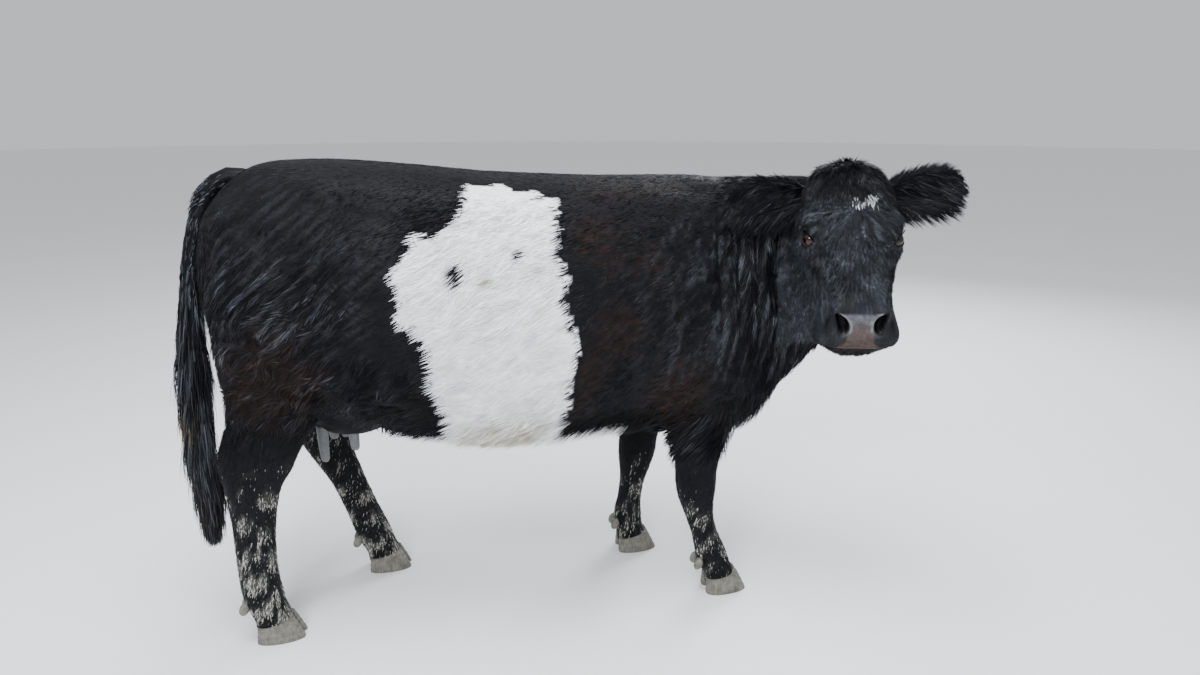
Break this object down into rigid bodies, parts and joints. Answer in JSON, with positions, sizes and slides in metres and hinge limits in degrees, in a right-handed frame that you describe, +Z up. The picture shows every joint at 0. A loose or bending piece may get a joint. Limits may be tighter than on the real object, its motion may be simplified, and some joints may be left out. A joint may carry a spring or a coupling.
{
  "type": "galloway cow",
  "caption": "Standing polled cow with a black coat and a broad white belt, head turned back over its right side, life size, as a still model.",
  "frame": {"origin": "on the floor, below the middle of the whole animal with its tail and head", "axes": "+X from tail to chest, along the body; +Y to the left side of the cow; +Z up"},
  "size_m": [2.0542, 0.8434, 1.272],
  "materials": {
    "black_coat": "soft hair",
    "white_coat": "soft hair",
    "hoof": "horn",
    "dewclaw": "horn",
    "eye": "wet gloss",
    "teat": "bare skin",
    "udder_skin": "skin with short hair"
  },
  "bodies": {
    "root": {"belt": "white_coat", "chest": "black_coat", "ear_left": "black_coat", "ear_right": "black_coat", "eye_left": "eye", "eye_right": "eye", "fore_left_claw_left": "hoof", "fore_left_claw_right": "hoof", "fore_left_dewclaw_left": "dewclaw", "fore_left_dewclaw_right": "dewclaw", "fore_left_shank": "black_coat", "fore_left_thigh": "black_coat", "fore_right_claw_left": "hoof", "fore_right_claw_right": "hoof", "fore_right_dewclaw_left": "dewclaw", "fore_right_dewclaw_right": "dewclaw", "fore_right_shank": "black_coat", "fore_right_thigh": "black_coat", "head": "black_coat", "hind_left_claw_left": "hoof", "hind_left_claw_right": "hoof", "hind_left_dewclaw_left": "dewclaw", "hind_left_dewclaw_right": "dewclaw", "hind_left_shank": "black_coat", "hind_left_thigh": "black_coat", "hind_right_claw_left": "hoof", "hind_right_claw_right": "hoof", "hind_right_dewclaw_left": "dewclaw", "hind_right_dewclaw_right": "dewclaw", "hind_right_shank": "black_coat", "hind_right_thigh": "black_coat", "neck": "black_coat", "rump": "black_coat", "tail": "black_coat", "tail_switch": "black_coat", "teat_1": "teat", "teat_2": "teat", "teat_3": "teat", "teat_4": "teat", "udder": "udder_skin"}
  },
  "joints": []
}
